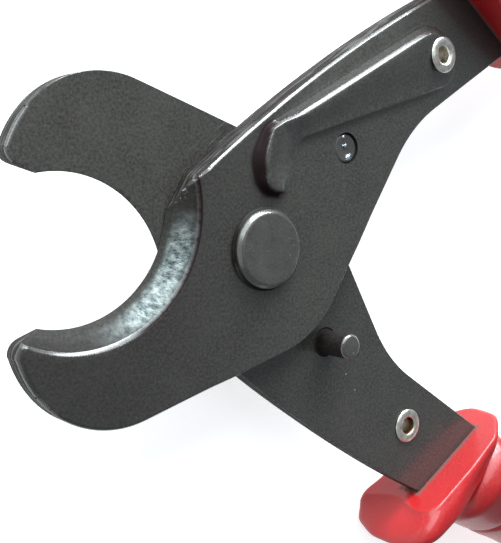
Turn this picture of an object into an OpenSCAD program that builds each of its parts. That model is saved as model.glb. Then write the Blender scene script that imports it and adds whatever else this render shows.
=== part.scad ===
// Two-handed rescue cutter for cables and ropes: two identical forged hook blades on one pivot bolt,
// with insulated handles. It lies flat: +X runs from the jaws to the handles, +Z along the pivot axis.
// The rear half is the front half turned half a turn about the X axis.

/* [Blades] */
// Thickness of each blade plate
plate_t = 8; // [7:0.5:9]
// Height of the forged rib on the outer face
rib_h = 3.2; // [2.6:0.2:4]
// Radius of the round hub about the pivot
hub_r = 36; // [35:0.5:37]
// Radius of the round throat that carries the cutting edge
throat_r = 34.8; // [34:0.1:35.5]
// Width of the ground cutting bevel
bevel_w = 8; // [7:0.1:9]
// Flat left under the bevel at the cutting edge
edge_land = 0.5; // [0.3:0.1:1]
// Radius of the jaw's rounded back near the tip
jaw_r = 32.6; // [31:0.1:34]
// Radius of the rounded tip corner
tip_r = 5; // [2:0.5:6]
// Gap between the two sliding plates
blade_gap = 0.2; // [0.1:0.05:0.4]

/* [Pivot] */
// Shank diameter of the pivot bolt
bolt_d = 16; // [14:1:16]
// Diameter of the bolt's flat round head
head_d = 26; // [24:1:28]
// Height of the head above its washer
head_h = 2.7; // [2:0.1:4]
// Chamfer round the head
head_chamfer = 1.2; // [0.5:0.1:1.5]
// Radial running clearance of the bushes on the bolt
bush_clearance = 0.05; // [0.02:0.01:0.08]
// Wall of the bronze bushes
bush_wall = 2; // [1.5:0.5:2.5]
// Width across the flats of the pivot nut
nut_af = 24; // [24:1:27]

/* [Stop pins and hollow rivets] */
// Diameter of the stop pins
pin_d = 8.8; // [8:0.1:9]
// Height of a stop pin's tip above the shear plane
pin_reach = 13.5; // [10:0.5:16]
// Bore of the hollow rivets
eyelet_bore_d = 6.5; // [5:0.5:7]
// Outer diameter of the hollow rivets' rolled rims
eyelet_rim_d = 13.4; // [12:0.1:14]

/* [Handles] */
// Length of each handle from the blade's end to the centre of its domed end
handle_len = 300; // [260:5:360]
// Outer diameter of the steel handle tube
tube_d = 28; // [26:1:28]
// Wall of the steel handle tube
tube_wall = 2.5; // [2:0.1:2.5]
// Grip radius at its slimmest
grip_r = 17.5; // [16.5:0.5:19]
// Radius of the grip's swelled end and of the domed cap
grip_end_r = 19.5; // [19:0.5:21]
// Half length of the egg-shaped hand guard
guard_a = 38; // [36:0.5:42]
// Half width of the hand guard before its egg taper
guard_b = 22; // [20:0.5:25]
// Thickness of the hand guard's flange
guard_t = 11.5; // [10:0.5:14]

/* [Hidden] */
$fn = 96;

steel = [0.22, 0.22, 0.21];
bare_steel = [0.62, 0.62, 0.6];
bronze = [0.62, 0.46, 0.24];
nylon = [0.85, 0.86, 0.82];
red = [0.85, 0.1, 0.12];

overcut = 1;
face_z = blade_gap / 2;
outer_z = face_z + plate_t;
mid_z = face_z + plate_t / 2;

// Headings of the blade's edges, in degrees from +X, with the tool open
neck_heading = 58.7;
tang_heading = 31.6;
jaw_slope = 17;
lip_heading = 240;
tip_heading = 201.8;
handle_heading = 31;
guard_heading = 57.8;

// Lengths along the blade's edges
neck_len = 73.6;
knee_r = 58;
tang_len = 63.2;
tang_end_w = 41;
tang_back_r = 620;
jaw_len = 57;
jaw_end_a = 190;
lip_start = [-27, 23.3];
lip_len = 17;
tip_len = 14;
throat_c = [-68.5, 12.2];
tongue_w = 21;
tongue_len = 80;
plate_in_guard = 9;

function polar(r, a) = [r * cos(a), r * sin(a)];
function arc(c, r, a0, a1, n) = [for (i = [0:n]) c + polar(r, a0 + (a1 - a0) * i / n)];
// The round between two straight edges of the given headings that meet at a corner
function fillet(corner, in_heading, out_heading, r, n) =
    let (turn = out_heading - in_heading,
         side = sign(turn),
         start = corner - polar(r * tan(abs(turn) / 2), in_heading),
         c = start + polar(r, in_heading + side * 90))
    arc(c, r, in_heading - side * 90, out_heading - side * 90, n);
// The shallow arc from p to q whose bulge lies on the right-hand side
function bow(p, q, r, n) =
    let (d = q - p,
         heading = atan2(d.y, d.x),
         half = asin(norm(d) / 2 / r),
         c = (p + q) / 2 + polar(r * cos(half), heading + 90))
    arc(c, r, heading - 90 - half, heading - 90 + half, n);

knee = polar(hub_r, neck_heading - 90) + polar(neck_len, neck_heading);
guard_inner = knee + polar(tang_len, tang_heading);
guard_outer = guard_inner + polar(tang_end_w, guard_heading + 90);
handle_p = (guard_inner + guard_outer) / 2;
jaw_c = polar(hub_r - jaw_r, jaw_slope - 90) + polar(jaw_len, jaw_slope + 180);
tip = jaw_c + polar(jaw_r, jaw_end_a);
// The point y to the left of the handle's axis on the line where the plate ends inside the guard
function shoulder(y) =
    let (skew = guard_heading - handle_heading,
         x = plate_in_guard / cos(skew) - y * tan(skew))
    handle_p + polar(x, handle_heading) + polar(y, handle_heading + 90);

blade_outline = concat(
    arc([0, 0], hub_r, jaw_slope - 90, neck_heading - 90, 14),
    fillet(knee, neck_heading, tang_heading, knee_r, 6),
    [guard_inner + polar(plate_in_guard, tang_heading),
     shoulder(-tongue_w / 2),
     handle_p + polar(tongue_len, handle_heading) - polar(tongue_w / 2, handle_heading + 90),
     handle_p + polar(tongue_len, handle_heading) + polar(tongue_w / 2, handle_heading + 90),
     shoulder(tongue_w / 2),
     guard_outer + polar(plate_in_guard, tang_heading)],
    bow(guard_outer, lip_start, tang_back_r, 12),
    [lip_start + polar(lip_len, lip_heading),
     tip - polar(tip_len, tip_heading)],
    fillet(tip, tip_heading, jaw_end_a + 90, tip_r, 5),
    arc(jaw_c, jaw_r, jaw_end_a + 6, jaw_slope + 270, 18));

// Stop pin and hollow rivet places, in the blade
pin_p = [35.4, 34.5];
pin_sink = 0.6;
countersink_d = 10.8;
countersink_h = 1.5;
eyelet_p = [80.4, 71.3];
eyelet_shank_d = 8.4;
rim_h = 1.2;

// The rib: a strip that widens towards the handle, and an arm that hooks down beside the pivot
strip_start = [-3.5, 40.5];
strip_heading = 28.6;
strip_len = 88;
strip_end_r = 12.6;
arm_outer = [-6, 29];
arm_w = 12;
arm_end = [3.2, 23.2];
arm_end_r = 5.4;
strip_lower_start = [11.5, 35.8];

// Pivot stack behind the rear blade
head_washer_t = 0.8;
head_washer_d = 27.4;
tail_washer_t = 2;
tail_washer_d = 30;
spring_t = 1.6;
spring_rise = 0.7;
spring_d = 28;
nut_h = 9.5;
lock_ring_h = 2.4;
lock_ring_w = 2;
bolt_tail = 1.2;
head_slack = 0.1;
bolt_bore_d = bolt_d + 2 * bush_clearance;
bush_d = bolt_bore_d + 2 * bush_wall;
stack_top = outer_z + head_washer_t + head_slack;
nut_top = -outer_z - tail_washer_t - spring_t - spring_rise;
nut_bottom = nut_top - nut_h;

// Handle stations, measured along the handle from the blade's end
tube_start = 18;
tang_rivet_d = 6;
tang_rivet_x = [35, 65];
guard_collar_r = 21;
guard_collar_end = 38;
cap_plug_len = 22;
cap_seat = 4;
guard_offset = 5;
guard_taper = 0.22;
guard_power = 2.3;

// Egg outline of the hand guard: u along the guard, z across it
function egg(t) =
    let (s = cos(t),
         c = sign(s) * pow(abs(s), 2 / guard_power),
         w = sign(sin(t)) * pow(abs(sin(t)), 2 / guard_power))
    [guard_offset - guard_a * c, guard_b * w * (1 - guard_taper * c)];
guard_outline = [for (i = [0:59]) egg(i * 6)];

// Place of the pivot in the tool's frame, whose origin is under the middle of the tool
x_low = min([for (p = blade_outline) p.x]);
x_high = handle_p.x + handle_len * cos(handle_heading) + grip_end_r;
z_low = -mid_z - max([for (p = guard_outline) p.y]);
pivot_at = [-(x_low + x_high) / 2, 0, -z_low];

module front_half() {
    translate(pivot_at) children();
}

module rear_half() {
    translate(pivot_at) rotate([180, 0, 0]) children();
}

module along_handle() {
    translate([handle_p.x, handle_p.y, mid_z]) rotate([0, 0, handle_heading]) children();
}

module across_guard() {
    translate([handle_p.x, handle_p.y, mid_z]) rotate([0, 0, guard_heading]) children();
}

// A round profile, drawn as [radius, distance], turned about the handle's axis
module turned() {
    along_handle() rotate([0, 90, 0]) rotate_extrude() children();
}

module blade_plate() {
    translate([0, 0, face_z]) linear_extrude(plate_t) polygon(blade_outline);
}

module rib() {
    strip_end = strip_start + polar(strip_len, strip_heading);
    translate([0, 0, outer_z]) linear_extrude(rib_h) {
        polygon([strip_start,
                 strip_lower_start,
                 eyelet_p + polar(strip_end_r, -70),
                 strip_end]);
        translate(eyelet_p) circle(strip_end_r);
        polygon([strip_start + polar(strip_len, strip_heading),
                 strip_start,
                 arm_outer,
                 arm_end + polar(arm_end_r, 205),
                 arm_end + polar(arm_end_r, 25),
                 arm_outer + [arm_w, 0],
                 strip_lower_start]);
        translate(arm_end) circle(arm_end_r);
    }
}

module blade() {
    color(steel) difference() {
        union() {
            blade_plate();
            rib();
        }
        translate([throat_c.x, throat_c.y, -overcut]) cylinder(r = throat_r, h = plate_t + 2 * overcut);
        translate([throat_c.x, throat_c.y, face_z + edge_land])
            cylinder(r1 = throat_r, r2 = throat_r + bevel_w, h = plate_t - edge_land);
        translate([0, 0, -overcut]) cylinder(d = bush_d, h = outer_z + 2 * overcut);
        translate([pin_p.x, pin_p.y, -overcut]) cylinder(d = pin_d, h = outer_z + 2 * overcut);
        translate([pin_p.x, pin_p.y, outer_z - countersink_h])
            cylinder(d1 = pin_d, d2 = countersink_d, h = countersink_h);
        translate([eyelet_p.x, eyelet_p.y, -overcut])
            cylinder(d = eyelet_shank_d, h = outer_z + rib_h + 2 * overcut);
        along_handle() for (x = tang_rivet_x)
            translate([x, 0, -tube_d / 2]) cylinder(d = tang_rivet_d, h = tube_d);
    }
}

module bush() {
    color(bronze) translate([0, 0, face_z]) difference() {
        cylinder(d = bush_d, h = plate_t);
        translate([0, 0, -overcut]) cylinder(d = bolt_bore_d, h = plate_t + 2 * overcut);
    }
}

module stop_pin() {
    color(steel) translate([pin_p.x, pin_p.y, 0]) {
        translate([0, 0, -pin_reach]) cylinder(d = pin_d, h = pin_reach + outer_z - countersink_h);
        translate([0, 0, outer_z - countersink_h])
            cylinder(d1 = pin_d, d2 = pin_d + (countersink_d - pin_d) * (1 - pin_sink / countersink_h),
                     h = countersink_h - pin_sink);
    }
}

module hollow_rivet() {
    low = face_z - rim_h;
    high = outer_z + rib_h + rim_h;
    color(bare_steel) translate([eyelet_p.x, eyelet_p.y, 0]) difference() {
        union() {
            translate([0, 0, low]) cylinder(d = eyelet_rim_d, h = rim_h);
            translate([0, 0, low]) cylinder(d = eyelet_shank_d, h = high - low);
            translate([0, 0, high - rim_h]) cylinder(d = eyelet_rim_d, h = rim_h);
        }
        translate([0, 0, low - overcut]) cylinder(d = eyelet_bore_d, h = high - low + 2 * overcut);
    }
}

module handle_tube() {
    color(bare_steel) difference() {
        turned() translate([tube_d / 2 - tube_wall, tube_start])
            square([tube_wall, handle_len - cap_seat - tube_start]);
        along_handle() for (x = tang_rivet_x)
            translate([x, 0, -tube_d / 2]) cylinder(d = tang_rivet_d, h = tube_d);
    }
}

module tang_rivets() {
    rivet_h = 2 * sqrt(pow(tube_d / 2, 2) - pow(tang_rivet_d / 2, 2));
    color(bare_steel) along_handle() for (x = tang_rivet_x)
        translate([x, 0, -rivet_h / 2]) cylinder(d = tang_rivet_d, h = rivet_h);
}

module hand_guard() {
    color(red) difference() {
        union() {
            across_guard() rotate([90, 0, 90]) linear_extrude(guard_t) polygon(guard_outline);
            difference() {
                turned() square([guard_collar_r, guard_collar_end]);
                across_guard() translate([-2 * guard_a, -guard_a, -guard_a]) cube(2 * guard_a);
            }
        }
        blade_plate();
        turned() translate([0, tube_start]) square([tube_d / 2, guard_collar_end]);
    }
}

module grip() {
    color(red) turned() polygon([
        [tube_d / 2, guard_collar_end],
        [guard_collar_r - 1.2, guard_collar_end],
        [guard_collar_r - 1.2, guard_collar_end + 6],
        [grip_r, guard_collar_end + 24],
        [grip_r, handle_len - 60],
        [grip_end_r, handle_len - 24],
        [grip_end_r, handle_len],
        [tube_d / 2, handle_len]]);
}

module end_cap() {
    color(red) turned() {
        difference() {
            translate([0, handle_len]) circle(grip_end_r);
            translate([-grip_end_r, handle_len - 2 * grip_end_r]) square([2 * grip_end_r, 2 * grip_end_r]);
            translate([-2 * grip_end_r, handle_len - grip_end_r]) square([2 * grip_end_r, 3 * grip_end_r]);
        }
        translate([0, handle_len - cap_plug_len]) square([tube_d / 2 - tube_wall, cap_plug_len]);
        translate([0, handle_len - cap_seat]) square([tube_d / 2, cap_seat]);
    }
}

module front_blade() { front_half() blade(); }
module rear_blade() { rear_half() blade(); }
module front_pivot_bush() { front_half() bush(); }
module rear_pivot_bush() { rear_half() bush(); }
module front_stop_pin() { front_half() stop_pin(); }
module rear_stop_pin() { rear_half() stop_pin(); }
module front_hollow_rivet() { front_half() hollow_rivet(); }
module rear_hollow_rivet() { rear_half() hollow_rivet(); }
module front_handle_tube() { front_half() handle_tube(); }
module rear_handle_tube() { rear_half() handle_tube(); }
module front_tang_rivets() { front_half() tang_rivets(); }
module rear_tang_rivets() { rear_half() tang_rivets(); }
module front_hand_guard() { front_half() hand_guard(); }
module rear_hand_guard() { rear_half() hand_guard(); }
module front_grip() { front_half() grip(); }
module rear_grip() { rear_half() grip(); }
module front_end_cap() { front_half() end_cap(); }
module rear_end_cap() { rear_half() end_cap(); }

module pivot_bolt() {
    color(steel) front_half() {
        translate([0, 0, stack_top]) cylinder(d = head_d, h = head_h - head_chamfer);
        translate([0, 0, stack_top + head_h - head_chamfer])
            cylinder(d1 = head_d, d2 = head_d - 2 * head_chamfer, h = head_chamfer);
        translate([0, 0, nut_bottom - bolt_tail]) cylinder(d = bolt_d, h = stack_top - nut_bottom + bolt_tail);
    }
}

module ring(d, bore, h) {
    difference() {
        cylinder(d = d, h = h);
        translate([0, 0, -overcut]) cylinder(d = bore, h = h + 2 * overcut);
    }
}

module head_washer() {
    color(bare_steel) front_half() translate([0, 0, outer_z])
        ring(head_washer_d, bolt_bore_d, head_washer_t);
}

module tail_washer() {
    color(bare_steel) front_half() translate([0, 0, -outer_z - tail_washer_t])
        ring(tail_washer_d, bolt_bore_d, tail_washer_t);
}

module disc_spring() {
    inner = bolt_d / 2 + 3 * bush_clearance;
    color(bare_steel) front_half() translate([0, 0, nut_top]) rotate_extrude() polygon([
        [inner, 0],
        [inner, spring_t],
        [spring_d / 2, spring_t + spring_rise],
        [spring_d / 2, spring_rise]]);
}

module pivot_nut() {
    color(steel) front_half() difference() {
        translate([0, 0, nut_bottom]) cylinder(d = nut_af / cos(30), h = nut_h, $fn = 6);
        translate([0, 0, nut_bottom - overcut]) cylinder(d = bolt_d, h = nut_h + 2 * overcut);
        translate([0, 0, nut_bottom - overcut])
            cylinder(d = bolt_d + 2 * lock_ring_w, h = lock_ring_h + overcut);
    }
}

module nut_lock_ring() {
    color(nylon) front_half() translate([0, 0, nut_bottom]) ring(bolt_d + 2 * lock_ring_w, bolt_d, lock_ring_h);
}

front_blade();
rear_blade();
front_pivot_bush();
rear_pivot_bush();
pivot_bolt();
head_washer();
tail_washer();
disc_spring();
pivot_nut();
nut_lock_ring();
front_stop_pin();
rear_stop_pin();
front_hollow_rivet();
rear_hollow_rivet();
front_handle_tube();
rear_handle_tube();
front_tang_rivets();
rear_tang_rivets();
front_hand_guard();
rear_hand_guard();
front_grip();
rear_grip();
front_end_cap();
rear_end_cap();
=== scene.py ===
"""Looks of the rescue cutter: two forged blades on one pivot bolt, with insulated handles.

The two halves are the same half: the rear one is turned half a turn about the tool's long axis.
Each half is described in millimetres from the pivot centre on the shear plane: +X towards the
handles, +Z out of the front blade's outer face. place() carries a mesh into the tool's frame.
"""

import math

import bpy
import numpy as np
from mathutils import Matrix, Vector
from mathutils.geometry import delaunay_2d_cdt

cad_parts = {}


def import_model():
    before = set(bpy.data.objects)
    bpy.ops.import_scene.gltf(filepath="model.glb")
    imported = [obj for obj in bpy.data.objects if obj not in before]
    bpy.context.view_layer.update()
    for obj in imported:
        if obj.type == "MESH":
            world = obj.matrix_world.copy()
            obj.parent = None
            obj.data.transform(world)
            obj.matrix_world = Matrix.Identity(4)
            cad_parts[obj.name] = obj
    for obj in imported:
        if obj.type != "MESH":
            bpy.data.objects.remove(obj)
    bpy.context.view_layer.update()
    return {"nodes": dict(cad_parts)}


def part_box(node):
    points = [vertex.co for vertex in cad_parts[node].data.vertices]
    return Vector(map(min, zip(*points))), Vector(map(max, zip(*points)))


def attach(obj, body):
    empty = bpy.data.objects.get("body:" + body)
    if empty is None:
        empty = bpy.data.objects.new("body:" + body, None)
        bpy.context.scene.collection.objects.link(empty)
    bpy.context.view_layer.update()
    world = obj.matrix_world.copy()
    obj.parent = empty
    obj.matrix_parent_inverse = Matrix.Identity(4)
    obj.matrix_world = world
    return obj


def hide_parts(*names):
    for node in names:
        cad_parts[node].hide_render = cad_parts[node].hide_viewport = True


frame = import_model()

MM = 0.001
bolt_low, bolt_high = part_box("pivot_bolt")
front_low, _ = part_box("front_blade")
_, rear_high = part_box("rear_blade")
bolt_center = (bolt_low + bolt_high) / 2
PIVOT = Vector((bolt_center.x, bolt_center.y, (front_low.z + rear_high.z) / 2))

# Heights of the blade plate's faces
PLATE_T = 8
FACE_Z = (front_low.z - PIVOT.z) / MM
OUTER_Z = FACE_Z + PLATE_T
MID_Z = FACE_Z + PLATE_T / 2

# Outline of the blade: hub, neck, tang, back edge, lip, throat, tip and jaw
HUB_R = 36
NECK_HEADING = 58.7
NECK_LEN = 73.6
TANG_HEADING = 31.6
TANG_LEN = 63.2
BACK_R = 620
BACK_CHAMFER = 1.9
LIP_START = (-27, 23.3)
LIP_HEADING = 240
THROAT_C = (-68.5, 12.2)
THROAT_R = 34.8
TIP_HEADING = 201.8
JAW_SLOPE = 17
JAW_LEN = 57
JAW_R = 32.6
JAW_END = 190

# Ground bevel round the throat, and the flat land that it leaves at the cutting edge
BEVEL_C = (-65.5, 11.2)
BEVEL_R = 40.6
EDGE_LAND = 0.5

# Holes for the bush, the stop pin with its stake marks, and the hollow rivet
BUSH_R = 10.05
PIN = (35.4, 34.5)
PIN_STAKES = [((34.1, 38.3), 0.6), ((35.1, 35.4), 0.7), ((37.0, 31.4), 1.1)]
EYELET = (80.4, 71.3)

# Damaged lacquer
CHIPPED_CORNER = (-31.8, 17.5)
SCUFF = (-17, -33, 0)
SCUFF_HEADING = -40
SPECKS = [((46.2, 47.3, 0.1), 0.4), ((51.1, 53.8, 0.1), 0.35)]

# Handle, guard, and the parts of the plate inside them
HANDLE_HEADING = 31
GUARD_HEADING = 57.8
HANDLE_LEN = 300
TONGUE_W = 21
TONGUE_LEN = 80
PLATE_IN_GUARD = 9
PLATE_W = 41


# ---------------------------------------------------------------- plane geometry


def polar(r, a):
    """The point at a distance and a heading in degrees."""
    return np.array([r * math.cos(math.radians(a)), r * math.sin(math.radians(a))])


def arc(c, r, a0, a1, n):
    return [np.array(c) + polar(r, a0 + (a1 - a0) * i / n) for i in range(n + 1)]


def fillet(corner, in_heading, out_heading, r, n):
    """The round between two straight edges of the given headings that meet at a corner."""
    turn = out_heading - in_heading
    side = math.copysign(1, turn)
    start = corner - polar(r * math.tan(math.radians(abs(turn) / 2)), in_heading)
    c = start + polar(r, in_heading + side * 90)
    return arc(c, r, in_heading - side * 90, out_heading - side * 90, n)


def bow(p, q, r, n):
    """The shallow arc from p to q that bulges to the right-hand side."""
    d = q - p
    heading = math.degrees(math.atan2(d[1], d[0]))
    half = math.degrees(math.asin(np.linalg.norm(d) / 2 / r))
    c = (p + q) / 2 + polar(r * math.cos(math.radians(half)), heading + 90)
    return arc(c, r, heading - 90 - half, heading - 90 + half, n)


def rounded(corners, n=8):
    """A closed outline through corners given as (x, y, radius)."""
    out = []
    for i, (x, y, r) in enumerate(corners):
        p = np.array([x, y], float)
        a = np.array(corners[i - 1][:2], float)
        b = np.array(corners[(i + 1) % len(corners)][:2], float)
        h0 = math.degrees(math.atan2(*(p - a)[::-1]))
        turn = (math.degrees(math.atan2(*(b - p)[::-1])) - h0 + 180) % 360 - 180
        out += fillet(p, h0, h0 + turn, r, n)
    return np.array(out)


def circle_hit(start, heading, c, r, nearest):
    """Where a ray meets a circle: the first hit, or the second."""
    d = polar(1, heading)
    to_c = np.array(c) - start
    along = to_c @ d
    half = math.sqrt(r * r - (to_c @ to_c - along * along))
    return start + d * (along - half if nearest else along + half)


def distance_to_loop(points, loop, closed=True):
    """Distance from each point to a polyline, and the number of the nearest segment."""
    a = np.asarray(loop, float)
    b = np.roll(a, -1, axis=0) if closed else a[1:]
    a = a if closed else a[:-1]
    d = b - a
    dd = np.maximum((d * d).sum(1), 1e-12)
    best = np.empty(len(points))
    which = np.empty(len(points), int)
    for i in range(0, len(points), 2000):
        p = points[i : i + 2000, None, :] - a[None]
        t = np.clip((p * d).sum(2) / dd, 0, 1)
        away = np.linalg.norm(p - t[..., None] * d, axis=2)
        which[i : i + 2000] = away.argmin(1)
        best[i : i + 2000] = away.min(1)
    return best, which


def inside_loop(points, loop):
    """Which points lie inside a closed loop."""
    a = np.asarray(loop, float)
    b = np.roll(a, -1, axis=0)
    x, y = points[:, None, 0], points[:, None, 1]
    crosses = (a[:, 1] > y) != (b[:, 1] > y)
    rise = np.where(b[:, 1] == a[:, 1], 1e-12, b[:, 1] - a[:, 1])
    at = a[:, 0] + (y - a[:, 1]) * (b[:, 0] - a[:, 0]) / rise
    return (crosses & (x < at)).sum(1) % 2 == 1


def resample(loop, step):
    """The closed loop with points about one step apart."""
    p = np.vstack([loop, loop[:1]])
    s = np.concatenate([[0], np.cumsum(np.linalg.norm(np.diff(p, axis=0), axis=1))])
    n = int(s[-1] / step)
    t = np.arange(n) * s[-1] / n
    return np.column_stack([np.interp(t, s, p[:, 0]), np.interp(t, s, p[:, 1])])


def offset(loop, distance):
    """The loop moved to its left-hand side, which is inwards on a counter-clockwise loop."""
    t = np.roll(loop, -1, axis=0) - np.roll(loop, 1, axis=0)
    t /= np.linalg.norm(t, axis=1)[:, None]
    return loop + np.column_stack([-t[:, 1], t[:, 0]]) * np.reshape(distance, (-1, 1))


def ramp(x, low, high):
    """0 at low and 1 at high, with a smooth start and end."""
    t = np.clip((np.asarray(x, float) - low) / (high - low), 0, 1)
    return t * t * (3 - 2 * t)


def soft_step(t, e=0.12):
    """0 below t = 0 and 1 above t = 1, straight between, with both bends rounded."""
    return (np.sqrt(t * t + e * e) - np.sqrt((t - 1) ** 2 + e * e) + 1) / 2


# ---------------------------------------------------------------- landmarks of a half


def blade_landmarks():
    """The outline's main corners, and the middle of the plate's end at the guard."""
    knee = polar(HUB_R, NECK_HEADING - 90) + polar(NECK_LEN, NECK_HEADING)
    inner = knee + polar(TANG_LEN, TANG_HEADING)
    outer = inner + polar(PLATE_W, GUARD_HEADING + 90)
    jaw_c = polar(HUB_R - JAW_R, JAW_SLOPE - 90) + polar(JAW_LEN, JAW_SLOPE + 180)
    return {
        "knee": knee,
        "inner": inner,
        "outer": outer,
        "handle": (inner + outer) / 2,
        "jaw_c": jaw_c,
        "tip": jaw_c + polar(JAW_R, JAW_END),
    }


MARK = blade_landmarks()
HANDLE = MARK["handle"]


# ---------------------------------------------------------------- meshes


def new_object(name, verts, faces, material, smooth=True):
    """An object from vertices in millimetres."""
    mesh = bpy.data.meshes.new(name)
    mesh.from_pydata([tuple(v) for v in np.asarray(verts, float) * MM], [], [tuple(f) for f in faces])
    mesh.update()
    mesh.polygons.foreach_set("use_smooth", [smooth] * len(mesh.polygons))
    obj = bpy.data.objects.new(name, mesh)
    bpy.context.scene.collection.objects.link(obj)
    mesh.materials.append(material)
    return obj


def loft(rings, cap_start=True, cap_end=True):
    """Vertices and faces of a skin over rings that all have the same number of points."""
    n = len(rings[0])
    verts = [p for ring in rings for p in ring]
    faces = []
    for k in range(len(rings) - 1):
        for i in range(n):
            j = (i + 1) % n
            faces.append((k * n + i, k * n + j, (k + 1) * n + j, (k + 1) * n + i))
    if cap_start:
        faces.append(tuple(range(n))[::-1])
    if cap_end:
        faces.append(tuple(range((len(rings) - 1) * n, len(rings) * n)))
    return verts, faces


def lathe(profile, segments=96, closed=False):
    """A profile of (radius, height) turned about Z. A closed profile makes a ring."""
    rings = []
    for r, h in profile:
        a = np.arange(segments) * 2 * math.pi / segments
        rings.append(np.column_stack([r * np.cos(a), r * np.sin(a), np.full(segments, h)]))
    if closed:
        rings.append(rings[0])
    return loft(rings, not closed, not closed)


def bend_round(profile, radius, n=4):
    """An open profile with each inner corner rounded."""
    out = [np.array(profile[0], float)]
    for a, p, b in zip(profile, profile[1:], profile[2:]):
        a, p, b = (np.array(q, float) for q in (a, p, b))
        u = (a - p) / np.linalg.norm(a - p)
        v = (b - p) / np.linalg.norm(b - p)
        reach = min(radius, np.linalg.norm(a - p) * 0.45, np.linalg.norm(b - p) * 0.45)
        for i in range(n + 1):
            t = i / n
            out.append(p + u * reach * (1 - t) ** 2 + v * reach * t**2)
    out.append(np.array(profile[-1], float))
    return out


def moved(verts, matrix):
    v = np.asarray(verts, float)
    m = np.array(matrix)
    return v @ m[:3, :3].T + m[:3, 3]


def half_matrix(half):
    turn = Matrix.Rotation(math.pi if half == "rear" else 0, 4, "X")
    return Matrix.Translation(PIVOT) @ turn


def place(obj, half, node):
    """Puts a half's piece in the tool, lets it ride on that half, and lets it stand for a CAD node."""
    obj.matrix_world = half_matrix(half)
    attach(obj, half + "_half")
    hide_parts(node)
    return obj


def both_halves(name, verts, faces, material, node, smooth=True):
    """The same piece on the front half and on the rear half."""
    front = new_object("front_" + name, verts, faces, material, smooth)
    rear = bpy.data.objects.new("rear_" + name, front.data)
    bpy.context.scene.collection.objects.link(rear)
    place(front, "front", "front_" + node)
    place(rear, "rear", "rear_" + node)
    return front, rear


def subdivide(objs, levels):
    for obj in objs:
        m = obj.modifiers.new("smooth_skin", "SUBSURF")
        m.levels = levels
        m.render_levels = levels


# ---------------------------------------------------------------- materials


class Nodes:
    """A short way to write a material's node tree."""

    def __init__(self, name):
        self.material = bpy.data.materials.new(name)
        self.material.use_nodes = True
        self.tree = self.material.node_tree
        self.shader = self.tree.nodes["Principled BSDF"]
        self.place = self.tree.nodes.new("ShaderNodeTexCoord").outputs["Object"]

    def mapped(self, center, heading=0, stretch=(1, 1, 1)):
        """The place from a centre in millimetres, along axes turned by a heading, then stretched."""
        from_center = {"Vector": self.place, "Location": [-c * MM for c in center]}
        shifted = self.add("ShaderNodeMapping", from_center).outputs[0]
        turn = {"Vector": shifted, "Rotation": (0, 0, -math.radians(heading))}
        turned = self.add("ShaderNodeMapping", turn).outputs[0]
        return self.add("ShaderNodeMapping", {"Vector": turned, "Scale": stretch}).outputs[0]

    def spot(self, center, radius):
        """1 inside a small ball, 0 outside, with a ragged rim."""
        from_center = {0: self.mapped(center)}
        away = self.add("ShaderNodeVectorMath", from_center, operation="LENGTH").outputs["Value"]
        r = radius * MM
        ragged = self.math("ADD", away, self.remap(self.noise(900), 0.3, 0.7, -0.3 * r, 0.3 * r))
        return self.remap(ragged, r, 0.7 * r)

    def add(self, kind, inputs=None, **settings):
        node = self.tree.nodes.new(kind)
        for key, value in settings.items():
            setattr(node, key, value)
        for key, value in (inputs or {}).items():
            self.set(node.inputs[key], value)
        return node

    def set(self, socket, value):
        if isinstance(value, bpy.types.NodeSocket):
            self.tree.links.new(value, socket)
        else:
            socket.default_value = value

    def noise(self, scale, detail=3, rough=0.5, stretch=(1, 1, 1)):
        at = self.add("ShaderNodeMapping", {"Vector": self.place, "Scale": stretch}).outputs[0]
        inputs = {"Vector": at, "Scale": scale, "Detail": detail, "Roughness": rough}
        return self.add("ShaderNodeTexNoise", inputs).outputs["Fac"]

    def remap(self, value, low, high, out_low=0.0, out_high=1.0):
        inputs = {"Value": value, "From Min": low, "From Max": high}
        inputs |= {"To Min": out_low, "To Max": out_high}
        return self.add("ShaderNodeMapRange", inputs).outputs[0]

    def math(self, operation, a, b=0.0):
        return self.add("ShaderNodeMath", {0: a, 1: b}, operation=operation).outputs[0]

    def mix(self, fac, a, b):
        inputs = {0: fac, 6: a, 7: b}
        return self.add("ShaderNodeMix", inputs, data_type="RGBA").outputs[2]

    def attribute(self, name):
        return self.add("ShaderNodeAttribute", attribute_name=name).outputs["Fac"]

    def axis(self, letter):
        return self.add("ShaderNodeSeparateXYZ", {0: self.place}).outputs[letter]

    def bump(self, height, strength, distance, normal=None):
        inputs = {"Height": height, "Strength": strength, "Distance": distance}
        if normal is not None:
            inputs["Normal"] = normal
        return self.add("ShaderNodeBump", inputs).outputs[0]

    def finish(self, **sockets):
        for key, value in sockets.items():
            self.set(self.shader.inputs[key.replace("_", " ")], value)
        return self.material


def lacquer_color(n, fine, broad, darkness, dull_painted_shade):
    """Warm near-black with a fine mottle, darker on the outer side of the jaw, and darkened further by
    two painted shade masks: darkness towards black, the dull shade mask towards dark maroon.
    """
    color = n.mix(n.remap(broad, 0.35, 0.65), (0.02, 0.018, 0.016, 1), (0.03, 0.028, 0.024, 1))
    color = n.mix(n.remap(fine, 0.35, 0.7, 0.0, 0.8), color, (0.07, 0.066, 0.056, 1))
    on_jaw = n.remap(n.axis("X"), 0.02, -0.06, 0.0, 0.5)
    on_outer_side = n.remap(n.axis("Z"), 0.003, 0.005)
    color = n.mix(n.math("MULTIPLY", on_jaw, on_outer_side), color, (0.011, 0.009, 0.007, 1))
    # Painted shade: darkness takes the lacquer towards black, the dull shade mask towards dark maroon.
    color = n.mix(darkness, color, (0.004, 0.0035, 0.0035, 1))
    return n.mix(dull_painted_shade, color, (0.011, 0.004, 0.0045, 1))


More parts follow.
